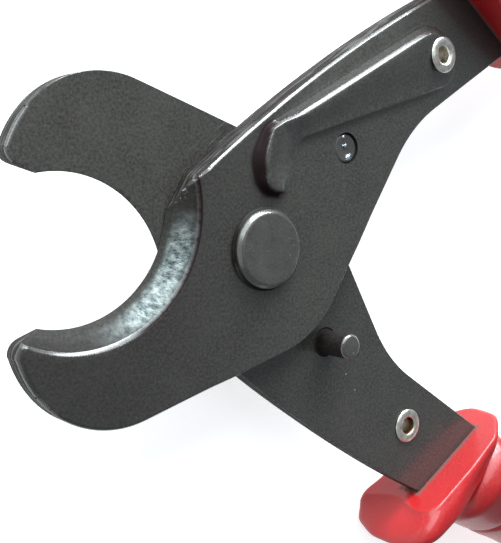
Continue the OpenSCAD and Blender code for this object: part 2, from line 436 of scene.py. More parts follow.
def lacquer_damage(n):
    """How much bare metal shows: chips at a corner, two specks and a faint streaky scuff."""
    flakes = n.remap(n.noise(900, 2, 0.6), 0.6, 0.64, 0.0, 0.6)
    chips = n.math("MULTIPLY", n.attribute("edge_wear"), flakes)
    along_scuff = n.mapped(SCUFF, SCUFF_HEADING, (1, 30, 1))
    streaks = n.add("ShaderNodeTexNoise", {"Vector": along_scuff, "Scale": 60}).outputs["Fac"]
    around_scuff = n.mapped(SCUFF, SCUFF_HEADING, (1, 3.5, 4))
    away = n.add("ShaderNodeVectorMath", {0: around_scuff}, operation="LENGTH").outputs["Value"]
    scuff = n.math("MULTIPLY", n.remap(away, 0.017, 0.009), n.remap(streaks, 0.58, 0.68))
    specks = n.math("MAXIMUM", *[n.spot(center, radius) for center, radius in SPECKS])
    bare = n.math("MAXIMUM", chips, n.math("MULTIPLY", specks, 0.5))
    return n.math("MAXIMUM", bare, n.math("MULTIPLY", scuff, 0.15))


def lacquered_steel(name, coat_weight, shine, roughness, darkness):
    """Forged steel under a dark lacquer, with part of the ground cutting bevel left bright."""
    n = Nodes(name)
    fine = n.noise(1100, 2, 0.7)
    broad = n.noise(70, 4, 0.6)
    # The dull shade mask is painted shade: it darkens the lacquer and takes its coat and gloss away.
    dull_painted_shade = n.attribute("dull_painted_shade")
    coat = lacquer_color(n, fine, broad, darkness, dull_painted_shade)
    bare = lacquer_damage(n)
    ragged = n.remap(n.noise(170, 3, 0.6), 0.3, 0.7, 0.8, 1.2)
    bevel = n.remap(n.math("MULTIPLY", ragged, n.attribute("ground")), 0.05, 0.95)
    hammer = n.noise(430, 4, 0.65, (1, 1, 0.5))
    ground = n.mix(n.remap(hammer, 0.36, 0.68), (0.04, 0.05, 0.052, 1), (0.21, 0.23, 0.22, 1))
    color = n.mix(bevel, coat, ground)
    worn = n.remap(broad, 0.3, 0.7, roughness, roughness + 0.08)
    # A high metallic share under a nearly black colour takes the gloss away where the lacquer is painted
    # dull and dark as shade.
    metal = n.math("MAXIMUM", n.remap(bevel, 0, 1, 0.2, 0.9), n.remap(dull_painted_shade, 0, 1, 0.0, 0.72))
    return n.finish(
        Base_Color=n.mix(bare, color, (0.42, 0.46, 0.48, 1)),
        Metallic=n.math("MAXIMUM", metal, bare),
        Roughness=n.mix(bevel, n.mix(dull_painted_shade, worn, (0.75, 0.75, 0.75, 1)), (0.42, 0.42, 0.42, 1)),
        Normal=n.bump(hammer, n.remap(bevel, 0, 1, 0.0, 0.5), 0.0008, n.bump(fine, 0.16, 0.0002)),
        Coat_Weight=n.remap(dull_painted_shade, 0, 1, coat_weight, 0.0),
        Coat_Roughness=0.14,
        Specular_IOR_Level=shine,
    )


def dull_lacquer(name, streaked):
    """Lacquer over rough steel, almost without shine, with upright streaks where wanted."""
    n = Nodes(name)
    grain = n.noise(700, 3, 0.7)
    streaks = n.noise(60, 2, 0.5, (1, 1, 16))
    # Near-black with a maroon tint; on the head washer and the stop pin's side this darkness is painted
    # shade.
    color = n.mix(n.remap(grain, 0.3, 0.7), (0.009, 0.006, 0.006, 1), (0.018, 0.014, 0.013, 1))
    return n.finish(
        Base_Color=n.mix(n.remap(streaks, 0.5, 0.6, 0.0, streaked), color, (0.075, 0.072, 0.066, 1)),
        Roughness=n.remap(grain, 0.3, 0.7, 0.6, 0.8),
        Specular_IOR_Level=0.12,
        Normal=n.bump(n.math("ADD", grain, n.math("MULTIPLY", streaks, 3 * streaked)), 0.35, 0.0004),
    )


def dark_steel(name, bare_spots=()):
    """Blackened turned steel, with bright dents at the given places."""
    n = Nodes(name)
    fine = n.noise(1300, 2, 0.6)
    broad = n.noise(160, 4, 0.6)
    color = n.mix(n.remap(broad, 0.35, 0.65), (0.042, 0.041, 0.036, 1), (0.064, 0.062, 0.054, 1))
    color = n.mix(n.remap(fine, 0.35, 0.7, 0.0, 0.5), color, (0.09, 0.086, 0.075, 1))
    dents = 0.0
    for center, radius in bare_spots:
        dents = n.math("MAXIMUM", dents, n.spot(center, radius))
    bare = n.math("MAXIMUM", dents, n.remap(n.noise(650, 3, 0.7), 0.7, 0.73, 0.0, 0.5))
    return n.finish(
        Base_Color=n.mix(bare, color, (0.62, 0.68, 0.72, 1)),
        Metallic=n.remap(bare, 0, 1, 0.4, 1.0),
        Roughness=n.remap(broad, 0.3, 0.7, 0.27, 0.38),
        Normal=n.bump(dents, 0.9, 0.0007, n.bump(fine, 0.15, 0.0002)),
        Coat_Weight=0.9,
        Coat_Roughness=0.2,
    )


def plated_steel(name, color_a, color_b, roughness):
    """Bright plated or bare metal, a little tarnished."""
    n = Nodes(name)
    broad = n.noise(240, 4, 0.65)
    fine = n.noise(1800, 2, 0.6)
    return n.finish(
        Base_Color=n.mix(n.remap(broad, 0.4, 0.68), color_a, color_b),
        Metallic=1.0,
        Roughness=n.remap(broad, 0.3, 0.7, roughness - 0.05, roughness + 0.12),
        Normal=n.bump(fine, 0.2, 0.00015),
    )


def hollow_rivet_nickel():
    """Nickel-plated brass, with brown tarnish down the bore, darkened deeper in as painted shade."""
    n = Nodes("hollow_rivet_nickel")
    broad = n.noise(500, 3, 0.6)
    bore = n.attribute("bore")
    color = n.mix(n.remap(broad, 0.4, 0.72), (0.86, 0.84, 0.76, 1), (0.5, 0.47, 0.38, 1))
    return n.finish(
        Base_Color=n.mix(bore, color, (0.12, 0.06, 0.022, 1)),
        Metallic=1.0,
        Roughness=n.remap(bore, 0, 1, 0.34, 0.5),
        Normal=n.bump(broad, 0.25, 0.0004),
    )


def nylon():
    """Undyed nylon, a little uneven."""
    n = Nodes("lock_ring_nylon")
    broad = n.noise(300, 3, 0.5)
    return n.finish(
        Base_Color=n.mix(n.remap(broad, 0.3, 0.7), (0.62, 0.63, 0.58, 1), (0.72, 0.73, 0.69, 1)),
        Roughness=n.remap(broad, 0.3, 0.7, 0.4, 0.52),
        Normal=n.bump(broad, 0.2, 0.0002),
    )


def red_insulation():
    """Glossy red dipped plastic, worn grey-brown where the blade enters the guard."""
    n = Nodes("red_insulation")
    broad = n.noise(40, 3, 0.6)
    fine = n.noise(900, 2, 0.5)
    color = n.mix(n.remap(broad, 0.35, 0.65), (0.265, 0.005, 0.005, 1), (0.31, 0.007, 0.008, 1))
    color = n.mix(n.remap(fine, 0.35, 0.7, 0.0, 0.5), color, (0.355, 0.012, 0.014, 1))
    seat = n.mapped((HANDLE[0], HANDLE[1], MID_Z), GUARD_HEADING)
    parts = n.add("ShaderNodeSeparateXYZ", {0: seat}).outputs
    past_width = n.math("SUBTRACT", n.math("ABSOLUTE", parts["Y"]), PLATE_W / 2 * MM)
    past_face = n.math("SUBTRACT", n.math("ABSOLUTE", parts["Z"]), PLATE_T / 2 * MM)
    rim = n.remap(n.math("MAXIMUM", past_width, past_face), 0.0021, 0.0008)
    at_front = n.remap(parts["X"], 0.005, 0.003)
    patchy = n.remap(n.noise(420, 3, 0.7), 0.35, 0.55, 0.2, 1.0)
    worn = n.math("MULTIPLY", n.math("MULTIPLY", rim, at_front), patchy)
    return n.finish(
        Base_Color=n.mix(worn, color, (0.1, 0.045, 0.04, 1)),
        Roughness=n.mix(worn, n.remap(fine, 0.3, 0.7, 0.34, 0.46), (0.8, 0.8, 0.8, 1)),
        Normal=n.bump(n.math("ADD", n.math("MULTIPLY", broad, 2.0), fine), 0.24, 0.0004),
        Coat_Weight=n.remap(worn, 0, 1, 0.25, 0.0),
        Specular_IOR_Level=0.4,
        Coat_Roughness=0.12,
    )


STEEL = lacquered_steel("lacquered_steel", 0.6, 0.5, 0.3, 0.0)
# A duller, darker copy of the lacquer: its darkness is painted shade on the ground bevel and the strip's
# flank.
MATTE_SHADED = lacquered_steel("matte_shaded_lacquered_steel", 0.0, 0.15, 0.6, 0.45)
SHEARED_EDGE_AND_SHADE = dull_lacquer("sheared_edge_and_shade_lacquer", 0.7)
PIN_SIDE_SHADE = dull_lacquer("pin_side_shade_lacquer", 0.0)
DARK = dark_steel("blackened_steel")
DENTED = dark_steel("staked_pin_steel", [((x, y, OUTER_Z - 0.3), 1.3 * r) for (x, y), r in PIN_STAKES])
PLATED = plated_steel("zinc_plated_steel", (0.55, 0.55, 0.53, 1), (0.38, 0.38, 0.36, 1), 0.32)
SPRING = plated_steel("blued_spring_steel", (0.12, 0.13, 0.17, 1), (0.2, 0.17, 0.15, 1), 0.3)
BRONZE = plated_steel("sintered_bronze", (0.5, 0.33, 0.14, 1), (0.35, 0.2, 0.08, 1), 0.4)
NICKEL = hollow_rivet_nickel()
NYLON = nylon()
RED = red_insulation()


# ---------------------------------------------------------------- blade


def shoulder(y):
    """The point y to the left of the handle's axis on the line where the plate ends inside the guard."""
    skew = math.radians(GUARD_HEADING - HANDLE_HEADING)
    x = PLATE_IN_GUARD / math.cos(skew) - y * math.tan(skew)
    return HANDLE + polar(x, HANDLE_HEADING) + polar(y, HANDLE_HEADING + 90)


def blade_runs():
    """The outline's stretches in counter-clockwise order: points, outer edge round, inner edge round."""
    lip_start = np.array(LIP_START, float)
    lip_end = circle_hit(lip_start, LIP_HEADING, THROAT_C, THROAT_R, True)
    tip_end = circle_hit(MARK["tip"], TIP_HEADING + 180, THROAT_C, THROAT_R, True)
    lip_a = math.degrees(math.atan2(lip_end[1] - THROAT_C[1], lip_end[0] - THROAT_C[0]))
    tip_a = math.degrees(math.atan2(tip_end[1] - THROAT_C[1], tip_end[0] - THROAT_C[0]))
    side = polar(TONGUE_W / 2, HANDLE_HEADING + 90)
    tongue = HANDLE + polar(TONGUE_LEN, HANDLE_HEADING)
    return [
        (arc((0, 0), HUB_R, JAW_SLOPE - 90, NECK_HEADING - 90, 40), 0.4, 0.5),
        (fillet(MARK["knee"], NECK_HEADING, TANG_HEADING, 58, 24), 0.9, 0.5),
        ([MARK["inner"] + polar(PLATE_IN_GUARD, TANG_HEADING), shoulder(-TONGUE_W / 2)], 0.8, 0.5),
        ([tongue - side, tongue + side], 0.8, 0.5),
        ([shoulder(TONGUE_W / 2), MARK["outer"] + polar(PLATE_IN_GUARD, TANG_HEADING)], 0.8, 0.5),
        (bow(MARK["outer"], lip_start, BACK_R, 60), BACK_CHAMFER, 0.5),
        ([lip_start + polar(2, LIP_HEADING), lip_end], 0.5, 0.4),
        (arc(THROAT_C, THROAT_R, lip_a, tip_a, 60)[1:-1], 0.15, 0.15),
        ([tip_end, MARK["tip"] - polar(6, TIP_HEADING)], 1.3, 0.7),
        (fillet(MARK["tip"], TIP_HEADING, JAW_END + 90, 5, 12), 2.0, 1.0),
        (arc(MARK["jaw_c"], JAW_R, JAW_END + 6, 225, 26), 2.0, 1.3),
        (arc(MARK["jaw_c"], JAW_R, 227, JAW_SLOPE + 270, 26), 1.2, 0.35),
    ]


def smooth_along(values, reach):
    """A running mean round a closed loop, over about twice reach samples."""
    w = np.hanning(2 * reach + 3)[1:-1]
    padded = np.concatenate([values[-reach:], values, values[:reach]])
    return np.convolve(padded, w / w.sum(), "valid")


# Number of the back edge in the list of runs: the only edge that is chamfered, not rounded.
BACK_RUN = 5

# The rib's heights, the line where it is highest and the line that it falls away to.
RIB_H = 3.9
RIB_LOW_H = 1.6
RIB_UPPER = [(2, 19), (-1, 21.5), (-4, 28), (-0.5, 37), (2, 42), (75, 83.2), (86, 88), (96, 88)]
RIB_LOWER = [(10, 18), (13, 25), (14, 36), (90, 61.4), (98, 66)]


def rib_outline():
    """Foot of the forged rib: a strip that widens to the handle, and an arm down beside the pivot."""
    return rounded(
        [
            (-0.8, 39.4, 2.5),
            (-6.4, 29.0, 11),
            (-2.6, 18.0, 7),
            (13.0, 17.4, 5),
            (12.4, 35.3, 5),
            (91.5, 62.0, 9),
            (90.5, 91.7, 15),
        ]
    )


HOLES = [((0, 0), BUSH_R), (PIN, 5.4), (EYELET, 4.2)]


def from_throat(p):
    """Distance and heading of each point from the middle of the throat."""
    away = p - np.array(THROAT_C)
    return np.linalg.norm(away, axis=1), np.degrees(np.arctan2(away[:, 1], away[:, 0]))


class BladeSkin:
    """Heights of the blade's outer and shear faces as functions of the place on the blade."""

    def __init__(self):
        step = 0.9
        runs = blade_runs()
        corners = np.vstack([np.array(points) for points, _, _ in runs])
        self.outline = resample(corners, step)
        coarse = np.concatenate([[k] * len(points) for k, (points, _, _) in enumerate(runs)])
        nearest = np.linalg.norm(self.outline[:, None] - corners[None], axis=2).argmin(1)
        kind = coarse[nearest]
        self.outer_round = smooth_along(np.array([runs[k][1] for k in kind]), 9)
        self.inner_round = smooth_along(np.array([runs[k][2] for k in kind]), 9)
        self.chamfer = smooth_along((kind == BACK_RUN).astype(float), 3)
        self.rib = resample(rib_outline(), step)

    def edge_drop(self, p, radii):
        """How far the rounded edge, or the back edge's chamfer, falls away from the face."""
        d, k = distance_to_loop(p, self.outline)
        r = radii[k]
        flat = self.chamfer[k] * (radii is self.outer_round)
        t = np.clip(1 - d / r, 0, 1)
        rounded_drop = r * (1 - np.sqrt(1 - t * t))
        over = r - d
        soft = 0.05  # rounds the bend between face and chamfer
        straight_drop = 0.5 * (over + np.sqrt(over * over + soft))
        straight_drop -= 0.5 * np.sqrt(soft) * np.clip(d / r, 0, 1)
        return flat * np.maximum(straight_drop, 0) * (d < 2 * r) + (1 - flat) * rounded_drop

    def bevel_share(self, p):
        """0 at the cutting edge, 1 where the ground bevel meets the outer face, more beyond it."""
        a = from_throat(p)[0] - THROAT_R
        b = BEVEL_R - np.linalg.norm(p - np.array(BEVEL_C), axis=1)
        return np.where(b > 0, a / np.maximum(a + b, 1e-6), 1 - b / 4)

    def inside_rib(self, p):
        """Distance to the foot of the rib, less than 0 outside it."""
        d, _ = distance_to_loop(p, self.rib)
        return np.where(inside_loop(p, self.rib), d, -d)

    def rib_sides(self, p):
        """Distances to the rib's upper left side and to its lower right side."""
        upper, _ = distance_to_loop(p, RIB_UPPER, closed=False)
        lower, _ = distance_to_loop(p, RIB_LOWER, closed=False)
        return upper, lower

    def rib_draft(self, p):
        """How far the rib's flank leans: most on the strip's upper side and half way down the arm."""
        upper, lower = self.rib_sides(p)
        on_arm = ramp(p[:, 1], 18, 26) * (1 - ramp(p[:, 1], 29, 39))
        on_strip = ramp(p[:, 0], 3, 14)
        return 0.9 + 1.8 * ramp(lower - upper, -3, 3) * np.maximum(on_arm, on_strip)

    def rib_height(self, p):
        """Full along the upper line, lower towards the lower line, and fading out at the eyelet."""
        upper, lower = self.rib_sides(p)
        on_strip = ramp(p[:, 0], 2, 18) * ramp(p[:, 1], 28, 38)
        lean = ramp(upper / (upper + lower + 1e-6), 0.1, 0.95)
        low = RIB_LOW_H * on_strip
        top = (RIB_H - (RIB_H - low) * lean) * (1 - 0.75 * ramp(p[:, 0], 76, 90))
        return top * soft_step(self.inside_rib(p) / self.rib_draft(p), 0.25)

    def outer(self, p):
        """The face with its rib, cut by the ground bevel. The bend between is softest at the tip."""
        z = OUTER_Z + self.rib_height(p)
        share = self.bevel_share(p)
        ground = FACE_Z + EDGE_LAND + share * (OUTER_Z - FACE_Z - EDGE_LAND)
        _, heading = from_throat(p)
        bend = 0.45 - 0.33 * ramp(heading, -75, -50)
        z = 0.5 * (z + ground - np.sqrt((z - ground) ** 2 + bend * bend))
        low = self.edge_drop(p, self.outer_round) + self.back_slope(p)
        return np.maximum(z - low * np.clip(share, 0, 1), FACE_Z + 0.3)

    def back_slope(self, p):
        """The ledge between rib and back edge falls away a little, most of all half way along."""
        d, k = distance_to_loop(p, self.outline)
        reach = ramp(p[:, 0], 0, 30) * (1 - 0.7 * ramp(p[:, 0], 45, 75))
        return 1.3 * self.chamfer[k] * reach * np.clip(1 - d / 8.5, 0, 1) ** 2

    def inner(self, p):
        """The shear face, rounded at its edge."""
        return FACE_Z + self.edge_drop(p, self.inner_round)

    def normals(self, p, height, up):
        """Normals of a height function, from its slopes over a short step."""
        h = 0.04
        dx = (height(p + [h, 0]) - height(p - [h, 0])) / (2 * h)
        dy = (height(p + [0, h]) - height(p - [0, h])) / (2 * h)
        n = np.column_stack([-dx, -dy, np.ones(len(p))]) * up
        return n / np.linalg.norm(n, axis=1)[:, None]


def circle_loop(c, r, step):
    n = max(24, int(2 * math.pi * r / step))
    return np.array([np.array(c) + polar(r, 360 * i / n) for i in range(n)])


def face_points(skin, outer):
    """Where the skin needs points: dense beside every bend, sparse on the flats."""
    radii = skin.outer_round if outer else skin.inner_round
    loops = [offset(skin.outline, radii * share) for share in (0.04, 0.15, 0.35, 0.6, 0.85, 1.0, 1.25)]
    if outer:
        for d in (-0.6, -0.2, 0.15, 0.5, 0.85, 1.2, 1.6, 2.0, 2.3, 2.6, 3.0, 3.6):
            loops.append(offset(skin.rib, d))
        for share in (0.15, 0.4, 0.65, 0.85, 0.97, 1.0):
            c = np.array(THROAT_C) * (1 - share) + np.array(BEVEL_C) * share
            loops.append(circle_loop(c, THROAT_R + (BEVEL_R - THROAT_R) * share, 0.9))
        loops.append(circle_loop(BEVEL_C, BEVEL_R + 0.4, 0.9))
    low, high = skin.outline.min(0), skin.outline.max(0)
    step = 1.8
    gx, gy = np.meshgrid(np.arange(low[0], high[0], step), np.arange(low[1], high[1], step))
    gx = gx + (np.arange(gx.shape[0]) % 2)[:, None] * step / 2
    loops.append(np.column_stack([gx.ravel(), gy.ravel()]))
    points = np.vstack(loops)
    points = points[inside_loop(points, skin.outline)]
    d, k = distance_to_loop(points, skin.outline)
    keep = d > np.minimum(0.035 * radii[k], 0.1)
    for c, r in HOLES:
        keep &= np.linalg.norm(points - np.array(c), axis=1) > r + 0.25
    return points[keep]


def face_sheet(skin, outer):
    """Points and triangles of one face of the blade, with the holes left open."""
    rims = [circle_loop(c, r, 0.8) for c, r in HOLES]
    loops = [skin.outline] + rims
    fixed = np.vstack(loops)
    edges = []
    start = 0
    for loop in loops:
        n = len(loop)
        edges += [(start + i, start + (i + 1) % n) for i in range(n)]
        start += n
    free = face_points(skin, outer)
    keep = np.ones(len(free), bool)
    cells = {}
    for i, p in enumerate(np.round(free / 0.12).astype(int)):
        key = (p[0], p[1])
        keep[i] = key not in cells
        cells[key] = i
    points = np.vstack([fixed, free[keep]])
    out = delaunay_2d_cdt([Vector(p) for p in points], edges, [], 0, 1e-5)
    verts = np.array([tuple(v) for v in out[0]])
    tris = np.array([f for f in out[2] if len(f) == 3])
    mid = verts[tris].mean(1)
    solid = inside_loop(mid, skin.outline)
    for rim in rims:
        solid &= ~inside_loop(mid, rim)
    return verts, tris[solid], loops


def wall(loop, top, bottom, inward):
    """A ring of upright quads, with its own vertices so that the wall's edges stay crisp."""
    n = len(loop)
    rows = [np.column_stack([loop, bottom + (top - bottom) * t]) for t in (0.0, 0.33, 0.67, 1.0)]
    verts, faces = loft(rows, False, False)
    if inward:
        faces = [f[::-1] for f in faces]
    t = np.roll(loop, -1, axis=0) - np.roll(loop, 1, axis=0)
    t /= np.linalg.norm(t, axis=1)[:, None]
    normal = np.column_stack([t[:, 1], -t[:, 0], np.zeros(n)]) * (-1 if inward else 1)
    return verts, faces, np.vstack([normal] * 4)


def blade():
    """Both blades: outer face, shear face, and upright walls round the outline and the holes."""
    skin = BladeSkin()
    verts, faces, normals = [], [], []
    count = 0
    for outer in (True, False):
        height = skin.outer if outer else skin.inner
        flat, tris, loops = face_sheet(skin, outer)
        used = np.unique(tris)
        renumber = np.full(len(flat), -1)
        renumber[used] = np.arange(len(used))
        flat, tris = flat[used], renumber[tris]
        verts.append(np.column_stack([flat, height(flat)]))
        normals.append(skin.normals(flat, height, 1 if outer else -1))
        faces += [tuple(f if outer else f[::-1]) for f in tris + count]
        count += len(flat)
    for k, loop in enumerate(loops):
        v, f, n = wall(loop, skin.outer(loop), skin.inner(loop), k > 0)
        verts.append(np.array(v))
        normals.append(n)
        faces += [tuple(np.array(q) + count) for q in f]
        count += len(v)
    verts = np.vstack(verts)
    normals = np.vstack(normals)
    front, rear = both_halves("forged_blade", verts, faces, STEEL, "blade")
    mesh = front.data
    mesh.materials.append(SHEARED_EDGE_AND_SHADE)
    mesh.materials.append(MATTE_SHADED)
    mesh.polygons.foreach_set("material_index", finish_of_faces(skin, verts, faces))
    mesh.normals_split_custom_set_from_vertices([tuple(n) for n in normals])
    paint_blade(mesh, skin, verts)
    return front, rear


def finish_of_faces(skin, verts, faces):
    """0 glossy lacquer, 1 sheared edge, 2 matte lacquer darkened as painted shade on the ground bevel
    and on the strip's flank.
    """
    mid = np.array([verts[list(f)].mean(0) for f in faces])
    p = mid[:, :2]
    outer = mid[:, 2] > FACE_Z + 0.3
    d, k = distance_to_loop(p, skin.outline)
    sheared = np.array([len(f) == 4 for f in faces])
    sheared |= outer & (d < 0.6 * skin.outer_round[k]) & (skin.chamfer[k] > 0.5)
    signed = skin.inside_rib(p)
    upper, lower = skin.rib_sides(p)
    flank = outer & (signed > -0.6) & (signed < 0.62 * skin.rib_draft(p)) & (upper < lower)
    flank &= (p[:, 0] < 76) & (p[:, 0] > 3) & (p[:, 1] > 37)
    matte_shaded = outer & (skin.bevel_share(p) < 0.85) | flank
    return np.select([sheared, matte_shaded], [1, 2], 0)


def set_attribute(mesh, name, values):
    """A number at each vertex, for a material to read."""
    a = mesh.attributes.new(name, "FLOAT", "POINT")
    a.data.foreach_set("value", np.asarray(values, np.float32))


def bright_bevel(skin, p):
    """1 on the part of the ground bevel that the lacquer leaves bright."""
    away, heading = from_throat(p)
    across = ramp(away - THROAT_R, 0.9, 2.4) * (1 - ramp(skin.bevel_share(p), 0.76, 0.96))
    along = ramp(heading, -88, -40) * (1 - ramp(heading, -16, 4))
    return across * along


def dull_painted_shade_places(skin, p):
    """1 where the lacquer is painted dull and dark as shade: the arm's flank, the bevel's rim, and
    partly beside the guard.
    """
    signed = skin.inside_rib(p)
    to_upper, to_lower = skin.rib_sides(p)
    flank = ramp(signed, -1.8, -0.8) * (1 - ramp(signed / skin.rib_draft(p), 0.8, 1.0))
    flank *= ramp(to_lower - to_upper, -1, 2) * (1 - ramp(p[:, 0], 1, 4) * ramp(p[:, 1], 30, 34))
    at_guard = ramp((p - HANDLE) @ polar(1, GUARD_HEADING), -24, -2)
    share = skin.bevel_share(p)
    _, heading = from_throat(p)
    rim = ramp(share, 0.82, 0.92) * (1 - ramp(share, 1.03, 1.13)) * ramp(heading, -68, -54)
    return np.maximum(np.maximum(flank, rim), 0.6 * at_guard)


def paint_blade(mesh, skin, verts):
    """The masks that the lacquer reads, all of them on the outer side only."""
    p = verts[:, :2]
    upper = verts[:, 2] > FACE_Z + 0.3
    set_attribute(mesh, "ground", upper * bright_bevel(skin, p))
    from_corner = np.linalg.norm(p - np.array(CHIPPED_CORNER), axis=1)
    set_attribute(mesh, "edge_wear", upper * (1 - ramp(from_corner, 1.5, 4)))
    # Painted shade on the arm's flank, along the bevel's rim and beside the guard.
    set_attribute(mesh, "dull_painted_shade", upper * dull_painted_shade_places(skin, p))



blade()


# ---------------------------------------------------------------- pivot, pins and rivets


def at_point(verts, x, y, z=0.0):
    return np.asarray(verts) + np.array([x, y, z])


def single(name, verts, faces, material, node, body):
    """A piece that the tool has only once, in the front half's coordinates."""
    obj = new_object(name, verts, faces, material)
    obj.matrix_world = half_matrix("front")
    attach(obj, body)
    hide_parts(node)
    return obj


def pivot_bolt():
    """A plain shank under a flat round head with a chamfered rim."""
    head_height = 2.7
    shank_r = 7.95
    top = (bolt_high.z - PIVOT.z) / MM
    end = (bolt_low.z - PIVOT.z) / MM
    under = top - head_height
    profile = [(0.01, end), (7.2, end), (shank_r, end + 0.8), (shank_r, under), (12.9, under)]
    profile += [(13.0, under + 1.2), (11.9, top - 0.25), (11.3, top)]
    profile += [(5.0, top - 0.05), (0.01, top - 0.05)]
    verts, faces = lathe(bend_round(profile, 0.35))
    single("turned_pivot_bolt", verts, faces, DARK, "pivot_bolt", "rear_half")


def pivot_nut():
    """A hexagon nut with chamfered corners, bored for the bolt and counterbored for the nylon ring."""
    low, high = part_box("pivot_nut")
    bottom = (low.z - PIVOT.z) / MM
    top = (high.z - PIVOT.z) / MM
    half_across_flats = 12.0
    bore_r = 8.05
    ring_seat_r = 10.05
    ring_seat = bottom + 2.4
    rows = []
    lower = [(10.1, bottom), (11.6, bottom), (14, bottom + 1.1)]
    upper = [(14, top - 1.1), (11.6, top), (bore_r, top)]
    for r, z in lower + upper:
        ring = []
        for i in range(96):
            a = 360 * i / 96
            flat = half_across_flats / math.cos(math.radians((a + 30) % 60 - 30))
            ring.append([*polar(min(r, flat), a), z])
        rows.append(np.array(ring))
    for r in (bore_r, ring_seat_r):
        rows.append(np.array([[*polar(r, 360 * i / 96), ring_seat] for i in range(96)]))
    rows.append(rows[0])
    verts, faces = loft(rows, False, False)
    obj = single("hex_pivot_nut", verts, faces, DARK, "pivot_nut", "rear_half")
    bevel = obj.modifiers.new("broken_edges", "BEVEL")
    bevel.width = 0.0002
    bevel.segments = 2
    bevel.limit_method = "ANGLE"
    obj.data.polygons.foreach_set("use_smooth", [False] * len(obj.data.polygons))


def stop_pin():
    """A pin with a chamfered tip, and its far end riveted over into the blade's countersink."""
    reach = 13.5
    pin_r = 4.4
    seat_r = 5.38
    head = OUTER_Z - 0.6
    profile = [(0.01, -reach), (3.6, -reach), (pin_r, -reach + 0.8), (pin_r, 0.2), (seat_r, 0.3)]
    profile += [(seat_r, OUTER_Z - 1.6), (4.95, OUTER_Z - 1.5), (4.95, head - 0.2)]
    profile += [(4.4, head + 0.1), (2.6, head - 0.1), (1.2, head - 0.3), (0.01, head - 0.35)]
    verts, faces = lathe(bend_round(profile, 0.4), 72)
    verts, faces = at_point(verts, *PIN), list(faces)
    for (x, y), r in PIN_STAKES:
        steps = np.radians(np.arange(15, 100, 15))
        dome = [(0.01, 0)] + [(r * math.sin(t), 0.75 * r * (math.cos(t) - 1)) for t in steps]
        more, quads = lathe(dome, 24)
        faces += [tuple(np.array(f)[::-1] + len(verts)) for f in quads]
        verts = np.vstack([verts, at_point(more, x, y, head + 0.5)])
    front, _ = both_halves("turned_stop_pin", verts, faces, DENTED, "stop_pin")
    # The pin's side takes the near-black lacquer as painted shade.
    front.data.materials.append(PIN_SIDE_SHADE)
    height = [np.mean([verts[i][2] for i in f]) for f in faces]
    on_side = [int(1.1 - reach < z < 0.5) for z in height]
    front.data.polygons.foreach_set("material_index", on_side)


def hollow_rivet():
    """A tube rivet whose two rims are rolled over."""
    low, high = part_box("front_hollow_rivet")
    bottom = (low.z - PIVOT.z) / MM
    top = (high.z - PIVOT.z) / MM
    bore, rim = 3.05, 6.7

    def rolled(end, inwards):
        """Half of one rim, from its outer foot over the top and down into the bore."""
        steps = [(4.1, 1.2), (rim - 0.5, 1.2), (rim, 0.85), (rim - 0.55, 0.3), (rim - 1.6, 0)]
        steps += [(bore + 0.9, 0.1), (bore + 0.25, 0.6), (bore, 1.2), (bore, 1.9)]
        return [(r, end + inwards * h) for r, h in steps]

    profile = rolled(bottom, 1)[::-1] + rolled(top, -1)
    skin = bend_round(profile, 0.5)
    verts, faces = lathe(skin + [skin[0]], 72)
    faces = [f for f in faces if len(f) == 4]
    verts = np.asarray(verts)
    there = at_point(verts, *EYELET)
    front, _ = both_halves("rolled_hollow_rivet", there, faces, NICKEL, "hollow_rivet")
    # Brown tarnish down the bore, with painted shade darkening it deeper in.
    in_bore = np.linalg.norm(verts[:, :2], axis=1) < bore + 0.3
    half_length = (top - bottom) / 2
    deep = 1 - ramp(np.abs(verts[:, 2] - MID_Z), half_length - 1.6, half_length - 0.9)
    set_attribute(front.data, "bore", in_bore * deep)


pivot_bolt()
pivot_nut()
stop_pin()
hollow_rivet()


# ---------------------------------------------------------------- handles


def along_handle():
    """Handle coordinates, with Z along the handle, in the half's coordinates."""
    turn = Matrix.Rotation(math.radians(HANDLE_HEADING), 4, "Z") @ Matrix.Rotation(math.pi / 2, 4, "Y")
    return Matrix.Translation((HANDLE[0], HANDLE[1], MID_Z)) @ turn


def across_guard():
    """Guard coordinates in the half's: X through the guard towards the grip, Y along it, Z across it."""
    turn = Matrix.Rotation(math.radians(GUARD_HEADING), 4, "Z")
    return Matrix.Translation((HANDLE[0], HANDLE[1], MID_Z)) @ turn


def ray_ring(x, corners, scale=1.0, n=96):
    """A ring at depth x on a rounded outline of (along, across, radius), evenly round its middle."""
    middle = np.array([2.0, 0.0])
    outline = rounded(corners) * scale + middle * (1 - scale)
    ends = np.roll(outline, -1, axis=0)
    ring = []
    for i in range(n):
        d = polar(1, 360 * i / n)
        side = np.array([-d[1], d[0]])
        a, b = (outline - middle) @ side, (ends - middle) @ side
        t = np.divide(a, a - b, out=np.zeros(len(a)), where=a != b)
        hit = (outline + (ends - outline) * t[:, None] - middle) @ d
        ring.append((x, *(middle + d * hit[((a <= 0) != (b <= 0)) & (hit > 0)].max())))
    return np.array(ring)


